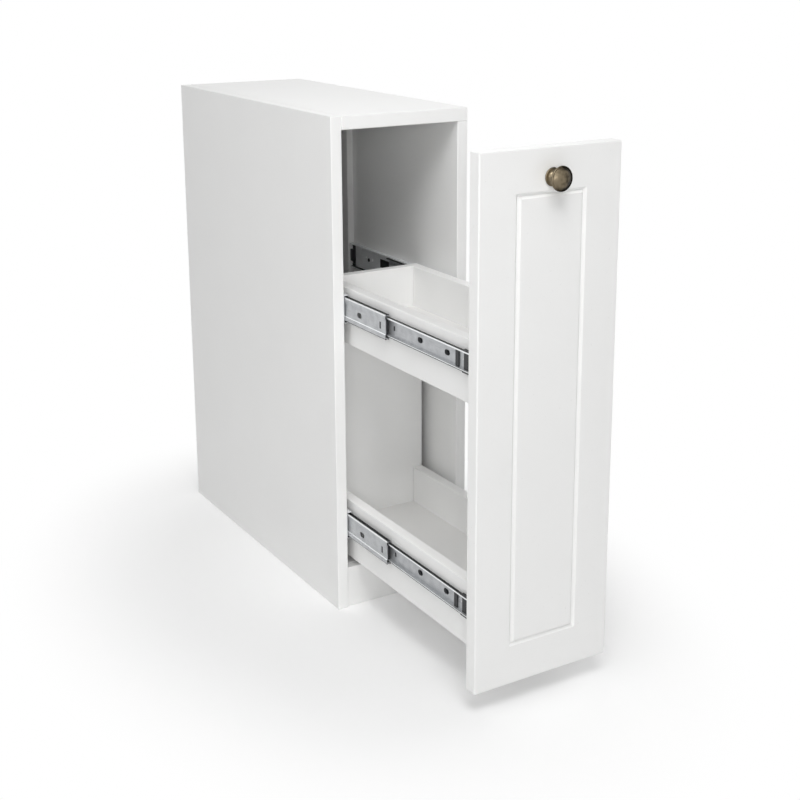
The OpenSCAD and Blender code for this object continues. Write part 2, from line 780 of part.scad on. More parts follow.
// A frustum cutter that narrows from one outline at the front's face to another at a depth
module routed(w, h, w_deep, h_deep, depth) {
    intersection() {
        along_y(-cut, depth) square([max(w, w_deep), max(h, h_deep)], center = true);
        linear_extrude(2 * front_h, center = true)
            polygon([[-w / 2, -cut], [w / 2, -cut], [w / 2, 0],
                     [w_deep / 2, depth], [-w_deep / 2, depth], [-w / 2, 0]]);
        along_x(-front_w, front_w)
            polygon([[-cut, -h / 2], [0, -h / 2], [depth, -h_deep / 2],
                     [depth, h_deep / 2], [0, h / 2], [-cut, h / 2]]);
    }
}

// The groove that frames the front's field, mitred at its corners
module front_groove() {
    w = front_w - 2 * frame_w;
    h = front_h - 2 * frame_w;
    slope = (rout_w - rout_floor) / 2;
    field = rout_w - slope;
    translate([0, -front_t, front_z + front_h / 2]) difference() {
        routed(w, h, w - 2 * slope, h - 2 * slope, rout_d);
        routed(w - 2 * rout_w, h - 2 * rout_w, w - 2 * field, h - 2 * field, rout_d + skim);
    }
}

// The front's section from one edge to the other, rounded at the face and eased at the rear
module front_outline(lo, hi) {
    r = front_edge_r;
    e = edge_ease;
    translate([lo + r, -front_t]) square([hi - lo - 2 * r, r]);
    translate([lo, -front_t + r]) square([hi - lo, front_t - r - e]);
    translate([lo + e, -e - r]) square([hi - lo - 2 * e, e + r]);
    for (x = [lo + r, hi - r])
        translate([x, -front_t + r]) circle(r = r);
}

module front() {
    color(WHITE) on_pullout() difference() {
        intersection() {
            translate([0, 0, front_z - cut]) linear_extrude(front_h + 2 * cut)
                front_outline(-front_w / 2, front_w / 2);
            rotate([90, 0, 90]) translate([0, 0, -front_w]) linear_extrude(2 * front_w)
                mirror([1, -1]) front_outline(front_z, front_z + front_h);
        }
        front_groove();
        translate([0, 0, knob_z]) rod_y(knob_screw_d + 0.5, -front_t - cut, cut);
        box_cam_bolts(fit_gap);
        box_dowels(fit_gap);
    }
}

module knob() {
    color(BRASS) on_pullout() translate([0, -front_t, knob_z]) rotate([90, 0, 0]) difference() {
        rotate_extrude() knob_half();
        translate([0, 0, -cut]) cylinder(d = knob_screw_d + 2 * fit_gap, h = knob_thread + cut);
    }
}

// The knob is turned: foot, neck and a domed head with a rim, drawn from the axis outwards
module knob_half() {
    head_r = knob_d / 2;
    foot_r = knob_foot_d / 2;
    neck_r = knob_neck_d / 2;
    rim_t = 3.2;
    rim_h = knob_reach - 6.5;
    swell = 4.9;
    dome_r = (pow(head_r - rim_t / 2, 2) + pow(swell, 2)) / (2 * swell);
    fillet = 5.5;
    union() {
        square([foot_r - 1.3, 2.6]);
        translate([foot_r - 1.3, 1.3]) circle(r = 1.3);
        difference() {
            square([neck_r + fillet, 2.6 + fillet]);
            translate([neck_r + fillet, 2.6 + fillet]) circle(r = fillet);
        }
        square([neck_r, rim_h]);
        polygon([[0, rim_h - 7], [neck_r, rim_h - 7], [head_r - rim_t, rim_h - 1.2],
                 [head_r - rim_t, rim_h], [0, rim_h]]);
        translate([0, rim_h - rim_t / 2]) square([head_r - rim_t / 2, rim_t]);
        translate([head_r - rim_t / 2, rim_h]) circle(d = rim_t);
        intersection() {
            translate([0, rim_h + rim_t / 2 + swell - dome_r]) circle(r = dome_r, $fn = 96);
            translate([0, rim_h]) square([head_r, knob_reach]);
        }
    }
}

module knob_screw() {
    color(ZINC) on_pullout() translate([0, 0, knob_z]) {
        rod_y(knob_screw_d, -front_t - knob_thread + 1, 0);
        difference() {
            rod_y(knob_screw_d * 2, 0, knob_head_t);
            for (a = [0, 90])
                rotate([0, a, 0])
                    block([-knob_screw_d / 2, knob_head_t / 2, -cross_w / 2],
                          [knob_screw_d / 2, knob_head_t + cut, cross_w / 2]);
        }
    }
}

module front_bumpers() {
    color(PANEL) on_pullout()
        for (k = [-1, 1], z = [front_z + bumper_inset, front_z + front_h - bumper_inset])
            translate([k * bumper_x, 0, z]) rod_y(bumper_d, 0, bumper_t);
}

// Fittings of the drawer and the tray: positions are the same in both sides of both boxes
module box_fix_places(from_top) {
    for (b = BOXES, k = [-1, 1])
        translate([k * (box_w - box_side_t) / 2, 0, b[1] + b[2] - from_top]) children();
}
module box_cam_bolts(gap) {
    box_fix_places(cam_from_top) rod_y(cam_bolt_d + 2 * gap, -cam_bolt_in - 2 * gap, cam_reach);
}
module box_dowels(gap) {
    box_fix_places(dowel_from_top)
        rod_y(dowel_d + 2 * gap, -dowel_in - 2 * gap, dowel_len - dowel_in + 2 * gap);
}
module box_back_places() {
    for (b = BOXES, k = [-1, 1])
        for (up = [b[3] + box_floor_t + long_screw_over_floor, b[2] - long_screw_in])
            translate([k * (box_w - box_side_t) / 2, 0, b[1] + up]) children();
}
module box_back_shanks(gap) {
    box_back_places()
        rod_y(long_screw_d + 2 * gap, box_len + box_back_t - long_screw_len - gap, box_len + box_back_t);
}

// A drawer or tray side: b is its box, k is -1 on the left and 1 on the right
module box_side(b, k) {
    x = k * box_w / 2;
    xi = k * box_in_w / 2;
    color(WHITE) difference() {
        on_pullout() difference() {
            board([min(x, xi), 0, b[1]], [max(x, xi), box_len, b[1] + b[2]]);
            floor_block(b, floor_gap);
            box_cam_bolts(fit_gap);
            box_dowels(fit_gap);
            box_back_shanks(fit_gap);
            translate([xi, cam_reach, b[1] + b[2] - cam_from_top]) rotate([0, k * 90, 0])
                translate([0, 0, -cut]) cylinder(d = cam_d + 2 * fit_gap, h = cam_t + fit_gap + cut);
        }
        drawer_screw_shanks(fit_gap);
    }
}

// A drawer or tray floor, held in grooves of the two sides
module floor_block(b, gap) {
    half = box_in_w / 2 + floor_tongue + gap;
    z = b[1] + b[3];
    past = gap > 0 ? cut : 0;
    block([-half, -past, z - gap], [half, box_len + past, z + box_floor_t + gap]);
}
module box_floor(b) {
    color(PANEL) on_pullout() floor_block(b, 0);
}

// The tall back panel closes the tray and the drawer and ties them together
module pullout_back() {
    color(WHITE) on_pullout() difference() {
        board([-box_w / 2, box_len, lower_z], [box_w / 2, box_len + box_back_t, upper_top]);
        box_back_shanks(fit_gap);
    }
}

module drawer_cams() {
    color(ZINC) on_pullout() for (b = BOXES, k = [-1, 1])
        translate([k * box_in_w / 2, cam_reach, b[1] + b[2] - cam_from_top]) rotate([0, k * 90, 0])
            cam() translate([0, 0, box_side_t / 2]) rod_y(cam_bolt_d + 1, -cam_d, fit_gap);
}

module drawer_cam_bolts() {
    color(ZINC) on_pullout() box_cam_bolts(0);
}

module drawer_dowels() {
    color(BEECH) on_pullout() box_dowels(0);
}

module back_screws() {
    color(ZINC) on_pullout() {
        box_back_shanks(0);
        box_back_places()
            rod_y(long_screw_d * 2, box_len + box_back_t, box_len + box_back_t + long_head_t);
    }
}

side_left();
side_right();
top_panel();
bottom_panel();
back_panel();
rear_rail();
kickboard();
for (k = SIDES)
    guide_batten(k[1]);
batten_screws();
carcass_cams();
carcass_cam_bolts();
carcass_dowels();
carcass_rail_screws();
rail_rear_bumpers();
for (s = SLIDES) {
    at_slide(s) carcass_rail();
    at_slide(s) middle_rail();
    at_slide(s) front_stop();
    at_slide(s) outer_ball_rows();
    at_slide(s) inner_ball_rows();
    at_slide(s) drawer_rail();
}
front();
knob();
knob_screw();
front_bumpers();
pullout_back();
for (b = BOXES) {
    for (k = SIDES)
        box_side(b, k[1]);
    box_floor(b);
}
drawer_rail_caps();
drawer_rail_screws();
drawer_cams();
drawer_cam_bolts();
drawer_dowels();
back_screws();
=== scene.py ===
# %% [markdown]
# # A narrow kitchen cabinet with a pull-out front
# The cabinet is a white box with one tall front on four ball-bearing slides. The exact solids come from the
# CAD model, which is loaded first and never moved. Blender adds what the eye looks for: softly rounded
# edges, a routed front, a turned knob and finishes that take the light as the real ones do.
# Everything is in metres, in the CAD model's own frame: x runs to the right, y to the wall and z up.

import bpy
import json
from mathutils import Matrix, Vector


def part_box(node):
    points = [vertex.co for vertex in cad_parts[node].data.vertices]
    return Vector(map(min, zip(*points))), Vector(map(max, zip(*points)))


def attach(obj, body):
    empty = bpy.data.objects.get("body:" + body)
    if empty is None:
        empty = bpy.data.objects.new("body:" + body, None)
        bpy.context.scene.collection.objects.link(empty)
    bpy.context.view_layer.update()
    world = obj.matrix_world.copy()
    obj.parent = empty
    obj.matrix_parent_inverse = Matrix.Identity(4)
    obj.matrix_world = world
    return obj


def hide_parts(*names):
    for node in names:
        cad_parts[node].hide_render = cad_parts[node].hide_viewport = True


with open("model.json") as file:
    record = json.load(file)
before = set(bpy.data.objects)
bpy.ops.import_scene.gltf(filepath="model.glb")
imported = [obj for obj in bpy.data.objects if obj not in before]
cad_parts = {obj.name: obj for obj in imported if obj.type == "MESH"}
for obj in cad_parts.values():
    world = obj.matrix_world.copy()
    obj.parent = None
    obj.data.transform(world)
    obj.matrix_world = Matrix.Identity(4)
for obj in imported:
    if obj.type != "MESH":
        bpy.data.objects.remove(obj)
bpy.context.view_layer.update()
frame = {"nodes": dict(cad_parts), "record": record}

# %% The modules that the cells below use
import json
import math

import bpy
from mathutils import Vector

MM = 0.001

# %% [markdown]
# ## The camera
# The photograph is taken from the left, a little above the cabinet, with a moderate telephoto lens. Its
# upright edges hardly lean, as in pictures taken with a shifted lens. The camera's position, its two angles
# and its lens were solved together from the cabinet's corners and are given below. Most of the framing
# comes from tilting the camera, and only a small shift is used, so that views from other sides stay framed
# too.

# %% Place the camera
IMAGE_SIZE = 800
CAMERA_PLACE = Vector((-1.0923, -1.8374, 1.0621))
CAMERA_TURN = -31.787
CAMERA_TILT = -14.168
LENS_PIXELS = 1362.0
LENS_CENTRE = (426.2, 296.0)

bpy.ops.object.select_all(action="DESELECT")
bpy.ops.object.camera_add(location=CAMERA_PLACE,
                          rotation=(math.radians(90 + CAMERA_TILT), 0, math.radians(CAMERA_TURN)))
camera = bpy.context.object
camera.name = "photo_camera"
camera.data.sensor_width = 36
camera.data.lens = camera.data.sensor_width * LENS_PIXELS / IMAGE_SIZE
camera.data.shift_x = (IMAGE_SIZE / 2 - LENS_CENTRE[0]) / IMAGE_SIZE
camera.data.shift_y = (LENS_CENTRE[1] - IMAGE_SIZE / 2) / IMAGE_SIZE
bpy.context.scene.camera = camera
bpy.context.scene.view_settings.view_transform = "Standard"
shift = [round(v, 3) for v in (camera.data.shift_x, camera.data.shift_y)]
print("lens", round(camera.data.lens, 2), "mm, shift", shift)

# %% [markdown]
# ## Two small helpers for colours and nodes
# Colours are written as the hex values that a colour picker shows. Blender's shaders work with linear light,
# so one function turns a hex value into linear numbers. A second one adds a shader node, sets its
# properties, and fills or links its sockets, which keeps every finish below short enough to read.

# %% Colours and nodes
def linear(hex_colour):
    """The linear RGBA colour of an sRGB hex value."""
    levels = [int(hex_colour[i:i + 2], 16) / 255 for i in (1, 3, 5)]
    return (*[v / 12.92 if v <= 0.04045 else ((v + 0.055) / 1.055) ** 2.4 for v in levels], 1)


def add_node(tree, kind, sockets=None, **settings):
    """A node with its settings; a socket is given a value, or another node's output to link."""
    node = tree.nodes.new(kind)
    for name, value in settings.items():
        setattr(node, name, value)
    for name, value in (sockets or {}).items():
        if isinstance(value, bpy.types.NodeSocket):
            tree.links.new(value, node.inputs[name])
        else:
            node.inputs[name].default_value = value
    return node


def new_finish(name):
    """An empty material with a surface shader, and its node tree."""
    finish = bpy.data.materials.new(name)
    finish.use_nodes = True
    tree = finish.node_tree
    tree.nodes.clear()
    shader = add_node(tree, "ShaderNodeBsdfPrincipled")
    add_node(tree, "ShaderNodeOutputMaterial", {"Surface": shader.outputs["BSDF"]})
    return finish, tree, shader


def pattern(tree, size, stretch=(1, 1, 1), detail=2.0):
    """A noise on the piece's own coordinates whose features are about size metres across."""
    where = add_node(tree, "ShaderNodeTexCoord").outputs["Object"]
    where = add_node(tree, "ShaderNodeMapping", {"Vector": where, "Scale": stretch}).outputs["Vector"]
    noise = add_node(tree, "ShaderNodeTexNoise", {"Vector": where, "Scale": 1 / size, "Detail": detail})
    return noise.outputs["Fac"]


print("mid grey #808080 is", round(linear("#808080")[0], 3), "in linear light")

# %% [markdown]
# ## White floor and backdrop
# The product stands in a white studio, on a plain pale floor that runs to the horizon. The white backdrop is
# what camera, mirror-like and see-through rays meet. It adds no light to the cabinet, which gets only a faint
# white glow from the world. The floor turns into the backdrop outside an oval round the cabinet, so it keeps
# the cabinet's shadow and shows no horizon.

# %% Make the world and the floor
FLOOR_SIZE = 60
FLOOR_COLOUR = "#f8f8f8"
FLOOR_LIFT = 0.06
WORLD_LIGHT = 0.22
# Middle and half sizes of the oval in which the floor turns from its own shading to plain white
FLOOR_MIDDLE = (-0.06, 0.08)
FLOOR_OVAL = (0.56, 0.82)
OWN_SHADING = 0.4


def seen_directly(tree):
    """1 for rays from the camera, a mirror or a glass, and 0 for the rays that carry light."""
    ray = add_node(tree, "ShaderNodeLightPath")
    seen = ray.outputs["Is Camera Ray"]
    for kind in ("Is Glossy Ray", "Is Transmission Ray"):
        larger = add_node(tree, "ShaderNodeMath", {0: seen, 1: ray.outputs[kind]}, operation="MAXIMUM")
        seen = larger.outputs[0]
    return seen


world = bpy.data.worlds.new("white_studio")
world.use_nodes = True
bpy.context.scene.world = world
sky = world.node_tree
sky.nodes.clear()
light = add_node(sky, "ShaderNodeBackground", {"Color": linear("#ffffff"), "Strength": WORLD_LIGHT})
backdrop = add_node(sky, "ShaderNodeBackground", {"Color": linear("#ffffff"), "Strength": 1})
both = add_node(sky, "ShaderNodeMixShader",
                {"Fac": seen_directly(sky), 1: light.outputs[0], 2: backdrop.outputs[0]})
add_node(sky, "ShaderNodeOutputWorld", {"Surface": both.outputs[0]})

bpy.ops.object.select_all(action="DESELECT")
bpy.ops.mesh.primitive_plane_add(size=FLOOR_SIZE)
floor = bpy.context.object
floor.name = "studio_floor"
paper = bpy.data.materials.new("white_studio_floor")
paper.use_nodes = True
tree = paper.node_tree
tree.nodes.clear()
shade = add_node(tree, "ShaderNodeBsdfDiffuse", {"Color": linear(FLOOR_COLOUR)})
lift = add_node(tree, "ShaderNodeMath", {0: seen_directly(tree), 1: FLOOR_LIFT}, operation="MULTIPLY")
glow = add_node(tree, "ShaderNodeEmission", {"Color": linear("#ffffff"), "Strength": lift.outputs[0]})
near = add_node(tree, "ShaderNodeAddShader", {0: shade.outputs[0], 1: glow.outputs[0]})
where = add_node(tree, "ShaderNodeTexCoord").outputs["Object"]
oval_scale = (1 / FLOOR_OVAL[0], 1 / FLOOR_OVAL[1], 1)
oval_shift = (-FLOOR_MIDDLE[0] / FLOOR_OVAL[0], -FLOOR_MIDDLE[1] / FLOOR_OVAL[1], 0)
where = add_node(tree, "ShaderNodeMapping", {"Vector": where, "Location": oval_shift, "Scale": oval_scale})
distance = add_node(tree, "ShaderNodeVectorMath", {0: where.outputs[0]}, operation="LENGTH").outputs["Value"]
far = add_node(tree, "ShaderNodeMapRange", {"Value": distance, "From Min": OWN_SHADING, "From Max": 1},
               interpolation_type="SMOOTHSTEP").outputs[0]
far = add_node(tree, "ShaderNodeMath", {0: far, 1: seen_directly(tree)}, operation="MULTIPLY").outputs[0]
white = add_node(tree, "ShaderNodeEmission", {"Color": linear("#ffffff"), "Strength": 1})
both = add_node(tree, "ShaderNodeMixShader", {"Fac": far, 1: near.outputs[0], 2: white.outputs[0]})
add_node(tree, "ShaderNodeOutputMaterial", {"Surface": both.outputs[0]})
floor.data.materials.append(paper)
print("floor", FLOOR_SIZE, "m across, world light", WORLD_LIGHT)

# %% [markdown]
# ## Five softboxes
# Softboxes are wide lamps behind white cloth, and area lamps stand in for them. The key hangs almost above
# the camera, at the angle that the knob's shadow in the photograph gives. It brightens the slopes that face
# up and leaves the others in soft shade, which makes the routed groove show. One at the left lights the side,
# and a low one under the key reaches into the cabinet. Two weak ones, at the right and behind, keep the far
# sides open.

# %% Hang the lamps
LAMP_AIM = Vector((0, -0.1, 0.4))
# Name, turn from the front and height angle in degrees, distance, width and height in metres, power in watts
LAMPS = [
    ("key_softbox", -28, 55, 3.0, 1.3, 1.3, 41),
    ("left_softbox", -75, 35, 3.0, 1.5, 1.5, 18),
    ("low_softbox", -31, 14, 3.0, 1.1, 0.8, 16.5),
    ("right_softbox", 88, 25, 3.0, 1.5, 1.5, 8),
    ("back_softbox", 150, 40, 2.6, 1.2, 1.2, 7),
]
for name, turn, rise, distance, width, height, watts in LAMPS:
    turn, rise = math.radians(turn), math.radians(rise)
    towards = Vector((math.sin(turn) * math.cos(rise), -math.cos(turn) * math.cos(rise), math.sin(rise)))
    place = LAMP_AIM + towards * distance
    bpy.ops.object.select_all(action="DESELECT")
    bpy.ops.object.light_add(type="AREA", location=place,
                             rotation=(LAMP_AIM - place).to_track_quat("-Z", "Y").to_euler())
    lamp = bpy.context.object
    lamp.name = name
    lamp.data.shape = "RECTANGLE"
    lamp.data.size = width
    lamp.data.size_y = height
    lamp.data.energy = watts
    print(name, "at", [round(v, 2) for v in place], watts, "W")

# %% [markdown]
# ## White board finishes
# The carcass is chipboard faced with melamine paper: a hard, satin skin, pressed with a faint pearl. The
# drawer boards are the same but a little glossier, and the thin panels are printed matt. A flat white would
# look like plastic film, so the tone drifts by about one percent over a hand's width, and a fine grain
# breaks up the gloss. The real pearl is about 0.3 mm, too fine for the picture, so it is drawn at 0.9 mm.
# The edges that show are banded with ABS plastic, which is a touch whiter and glossier than the paper.

# %% Melamine-faced boards
def board_finish(name, light_tone, dark_tone, gloss, pearl_size=0.9 * MM, pearl_depth=0.02 * MM):
    """Satin white board: gloss is the pair of roughness values between which the pearl varies."""
    finish, tree, shader = new_finish(name)
    drift = pattern(tree, 110 * MM)
    tone = add_node(tree, "ShaderNodeMix", {0: drift, 6: linear(dark_tone), 7: linear(light_tone)},
                    data_type="RGBA")
    tree.links.new(tone.outputs[2], shader.inputs["Base Color"])
    pearl = pattern(tree, pearl_size, detail=1.0)
    rough = add_node(tree, "ShaderNodeMapRange", {"Value": pearl, "To Min": gloss[0], "To Max": gloss[1]})
    tree.links.new(rough.outputs[0], shader.inputs["Roughness"])
    bump = add_node(tree, "ShaderNodeBump", {"Height": pearl, "Distance": pearl_depth, "Strength": 0.5})
    tree.links.new(bump.outputs[0], shader.inputs["Normal"])
    return finish


finishes = {
    "white_melamine": board_finish("melamine_faced_chipboard", "#f3f3f2", "#f0f0ef", (0.36, 0.44)),
    "white_drawer": board_finish("melamine_faced_drawer_board", "#f4f4f3", "#f1f1f0", (0.33, 0.41)),
    "white_panel": board_finish("printed_hardboard", "#f0f0ee", "#edeceb", (0.5, 0.6)),
}
edge_band = board_finish("abs_edge_band", "#fcfcfb", "#f9f9f8", (0.26, 0.34))
print(len(finishes), "board finishes and an edge band")

# %% [markdown]
# ## Lacquered front
# The front is fibreboard, routed and then sprayed with satin lacquer. A sprayed coat dries with a very faint
# orange peel: low waves a few millimetres across, which show only as a slight wobble in the highlights.
# It is also the smoothest white surface here, so its roughness is the lowest of all the white finishes.

# %% Sprayed satin lacquer
finish, tree, shader = new_finish("satin_lacquer_on_fibreboard")
drift = pattern(tree, 160 * MM)
tone = add_node(tree, "ShaderNodeMix", {0: drift, 6: linear("#f1f1f0"), 7: linear("#f4f4f3")},
                data_type="RGBA")
tree.links.new(tone.outputs[2], shader.inputs["Base Color"])
peel = pattern(tree, 4 * MM, detail=1.0)
rough = add_node(tree, "ShaderNodeMapRange", {"Value": peel, "To Min": 0.26, "To Max": 0.32})
tree.links.new(rough.outputs[0], shader.inputs["Roughness"])
bump = add_node(tree, "ShaderNodeBump", {"Height": peel, "Distance": 0.03 * MM, "Strength": 0.5})
tree.links.new(bump.outputs[0], shader.inputs["Normal"])
finishes["white_lacquer"] = finish
print("lacquer added:", len(finishes), "finishes in all")

# %% [markdown]
# ## Zinc-plated rolled steel
# The slides are strip steel, rolled to shape and zinc plated. Rolling leaves fine lines along the rail, and
# the plating is slightly blue and cloudy. The lines are a noise that is stretched along y, the rolling
# direction; real ones are about 0.05 mm, so they are drawn at 0.5 mm to show at all. Clouds of 12 mm vary
# the tone. The passivated zinc scatters some light, so it is not quite fully metallic. The balls are ground
# and polished, so they are brighter and sharper. The rails' screws are black zinc, and their black also
# serves as painted shade in the holes they sit in.

# %% Rolled and plated steel
def plated_steel(name, light_tone, dark_tone, gloss, metallic=1, line_width=0.5 * MM, line_depth=0.02 * MM):
    """Plated steel with rolling lines along y. Also returns the node that mixes its tone."""
    finish, tree, shader = new_finish(name)
    shader.inputs["Metallic"].default_value = metallic
    clouds = pattern(tree, 12 * MM, detail=3.0)
    lines = pattern(tree, line_width, stretch=(1, 0.02, 1))
    mixed = add_node(tree, "ShaderNodeMath", {0: clouds, 1: lines}, operation="ADD").outputs[0]
    mixed = add_node(tree, "ShaderNodeMapRange",
                     {"Value": mixed, "From Min": 0.7, "From Max": 1.3}).outputs[0]
    tone = add_node(tree, "ShaderNodeMix", {0: mixed, 6: linear(dark_tone), 7: linear(light_tone)},
                    data_type="RGBA")
    tree.links.new(tone.outputs[2], shader.inputs["Base Color"])
    rough = add_node(tree, "ShaderNodeMapRange", {"Value": mixed, "To Min": gloss[1], "To Max": gloss[0]})
    tree.links.new(rough.outputs[0], shader.inputs["Roughness"])
    bump = add_node(tree, "ShaderNodeBump", {"Height": lines, "Distance": line_depth, "Strength": 0.6})
    tree.links.new(bump.outputs[0], shader.inputs["Normal"])
    return finish, tone


ZINC = ("#c4c6c8", "#abadb0", (0.3, 0.42), 0.6)
finishes["zinc_steel"], _ = plated_steel("zinc_plated_steel", *ZINC)
finishes["bright_steel"], _ = plated_steel("polished_bearing_steel", "#d2d5d8", "#b9bdc1", (0.12, 0.2))
# The screws' black is black zinc and also painted shade for the holes they sit in
finishes["black_screws"], _ = plated_steel("black_zinc_plated_steel", "#3a3b3e", "#202124", (0.32, 0.45))
print("steel finishes added:", len(finishes), "in all")

# %% [markdown]
# ## Painted highlights and painted shade on the rails
# A rail is not the same all over. Its bends and lips get near-white bands of painted highlight, and nearly
# black bands of painted shade lie where shadow gaps fall, along the flanges and under the lips. Both follow
# the rail's section, which is the same all along it. So two distances paint them: how far a point is from
# its slide's centre line, and how deep it lies from the face of the side board that carries the slide.

# %% Finishes of the three kinds of rail
upper_low, upper_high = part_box("upper_left_carcass_rail")
lower_low, lower_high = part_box("lower_left_carcass_rail")
UPPER_LINE = (upper_low.z + upper_high.z) / 2
LOWER_LINE = (lower_low.z + lower_high.z) / 2
BOARD_FACE = -upper_low.x
# Bands of painted highlight and painted shade on each kind of rail
# In millimetres: lowest and highest place from the centre line, nearest and furthest from the board's face
RAIL_ZONES = {
    "carcass_rail": dict(painted_highlight=[(20.9, 22.9, 8.7, 9.3), (-22.9, -20.9, 8.7, 9.3)],
                         painted_shade=[(19.3, 21.8, 1.4, 8.8), (-21.8, -19.3, 1.4, 8.8)]),
    "middle_rail": dict(painted_highlight=[(17.8, 19.7, 1.8, 3.7), (-11.9, -10.5, 1.8, 3.2)],
                        painted_shade=[(18.4, 19.7, 3.8, 9.8), (-19.7, -18.4, 3.8, 9.8), (-19.7, -17.9, 1.8, 3.7)]),
    "drawer_rail": dict(painted_highlight=[(12.7, 15, 5.9, 6.5), (-13.9, -12.7, 5.9, 6.5)],
                        painted_shade=[(13.9, 15, 6.6, 12.8), (-15, -13.9, 6.6, 12.8), (-15, -13.9, 5.9, 6.5)]),
}
# The colours of the painted highlights and the painted shade
PAINTED_HIGHLIGHT = "#f4f6f7"
PAINTED_SHADE = "#141517"
# Painted light: the carcass rails get the flattest, palest copy of the zinc of the three, so they stay
# light grey in the shade inside the cabinet
PALER_MATT_ZINC = ("#eef0f1", "#dfe1e3", (0.45, 0.6), 0.05)


def rail_finish(kind):
    """Zinc-plated steel with bands of painted highlight and painted shade."""
    finish, tone = plated_steel("zinc_plated_" + kind, *(PALER_MATT_ZINC if kind == "carcass_rail" else ZINC))
    tree = finish.node_tree
    where = add_node(tree, "ShaderNodeTexCoord").outputs["Object"]
    place = add_node(tree, "ShaderNodeSeparateXYZ", {0: where})
    upper = add_node(tree, "ShaderNodeMath", {0: place.outputs["Z"], 1: (UPPER_LINE + LOWER_LINE) / 2},
                     operation="GREATER_THAN").outputs[0]
    line = add_node(tree, "ShaderNodeMath", {0: upper, 1: UPPER_LINE - LOWER_LINE, 2: LOWER_LINE},
                    operation="MULTIPLY_ADD").outputs[0]
    above = add_node(tree, "ShaderNodeMath", {0: place.outputs["Z"], 1: line},
                     operation="SUBTRACT").outputs[0]
    across = add_node(tree, "ShaderNodeMath", {0: place.outputs["X"]}, operation="ABSOLUTE").outputs[0]
    deep = add_node(tree, "ShaderNodeMath", {0: BOARD_FACE, 1: across}, operation="SUBTRACT").outputs[0]
    tone = tone.outputs[2]
    # Paints the highlight bands and then the shade bands over the zinc's own tone
    for zone, colour in (("painted_highlight", PAINTED_HIGHLIGHT), ("painted_shade", PAINTED_SHADE)):
        mask = 0
        for low, high, near, far in RAIL_ZONES[kind][zone]:
            inside = 1
            for distance, start, end in ((above, low, high), (deep, near, far)):
                within = add_node(tree, "ShaderNodeMath", {0: distance, 1: (start + end) / 2 * MM,
                                                           2: (end - start) / 2 * MM}, operation="COMPARE")
                inside = add_node(tree, "ShaderNodeMath", {0: inside, 1: within.outputs[0]},
                                  operation="MULTIPLY").outputs[0]
            mask = add_node(tree, "ShaderNodeMath", {0: mask, 1: inside}, operation="MAXIMUM").outputs[0]
        tone = add_node(tree, "ShaderNodeMix", {0: mask, 6: tone, 7: linear(colour)},
                        data_type="RGBA").outputs[2]
    tree.links.new(tone, tree.nodes["Principled BSDF"].inputs["Base Color"])
    return finish


rail_finishes = {kind: rail_finish(kind) for kind in RAIL_ZONES}
print("slide centre lines at z =", round(UPPER_LINE, 4), "and", round(LOWER_LINE, 4))

# %% [markdown]
# ## Black plastic, rubber and beech
# The stops and caps of the slides are moulded nylon. Its mould was spark-eroded, which leaves a fine, even
# grain and a matt sheen. The pads behind the front are soft clear rubber, and the dowels are beech, whose
# short dark flecks run along the dowel.

# %% Moulded nylon
finish, tree, shader = new_finish("moulded_black_nylon")
grain = pattern(tree, 0.6 * MM, detail=1.0)
tone = add_node(tree, "ShaderNodeMix", {0: grain, 6: linear("#17181a"), 7: linear("#232427")},
                data_type="RGBA")
tree.links.new(tone.outputs[2], shader.inputs["Base Color"])
rough = add_node(tree, "ShaderNodeMapRange", {"Value": grain, "To Min": 0.42, "To Max": 0.55})
tree.links.new(rough.outputs[0], shader.inputs["Roughness"])
bump = add_node(tree, "ShaderNodeBump", {"Height": grain, "Distance": 0.03 * MM, "Strength": 0.6})
tree.links.new(bump.outputs[0], shader.inputs["Normal"])
shader.inputs["IOR"].default_value = 1.53
finishes["black_plastic"] = finish

# %% Clear rubber pads
finish, tree, shader = new_finish("soft_clear_rubber")
cloud = pattern(tree, 3 * MM)
tone = add_node(tree, "ShaderNodeMix", {0: cloud, 6: linear("#dcdcd8"), 7: linear("#efefec")},
                data_type="RGBA")
tree.links.new(tone.outputs[2], shader.inputs["Base Color"])
rough = add_node(tree, "ShaderNodeMapRange", {"Value": cloud, "To Min": 0.3, "To Max": 0.45})
tree.links.new(rough.outputs[0], shader.inputs["Roughness"])
shader.inputs["Transmission Weight"].default_value = 0.4
finishes["clear_rubber"] = finish

# %% Beech dowels
finish, tree, shader = new_finish("fluted_beech")
flecks = pattern(tree, 1.2 * MM, stretch=(0.15, 1, 1), detail=3.0)
tone = add_node(tree, "ShaderNodeMix", {0: flecks, 6: linear("#b98f5f"), 7: linear("#dcc197")},
                data_type="RGBA")
tree.links.new(tone.outputs[2], shader.inputs["Base Color"])
rough = add_node(tree, "ShaderNodeMapRange", {"Value": flecks, "To Min": 0.55, "To Max": 0.7})
tree.links.new(rough.outputs[0], shader.inputs["Roughness"])
finishes["beech"] = finish
print("nylon, rubber and beech added:", len(finishes), "in all")

# %% [markdown]
# ## Aged brass
# The knob is darkened brass: a warm grey-brown with a soft shine. Its tone turns darker towards the rim and
# on the foot, and broad clouds of patina make it uneven. The left half is painted lighter and the right half
# darker, as painted light, and the neck behind the head is painted paler, as a painted highlight. Fine
# turning marks run round the knob.

# %% Darkened and brushed brass
knob_low, knob_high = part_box("knob")
knob_axis = (knob_low + knob_high) / 2
KNOB_RADIUS = (knob_high.x - knob_low.x) / 2

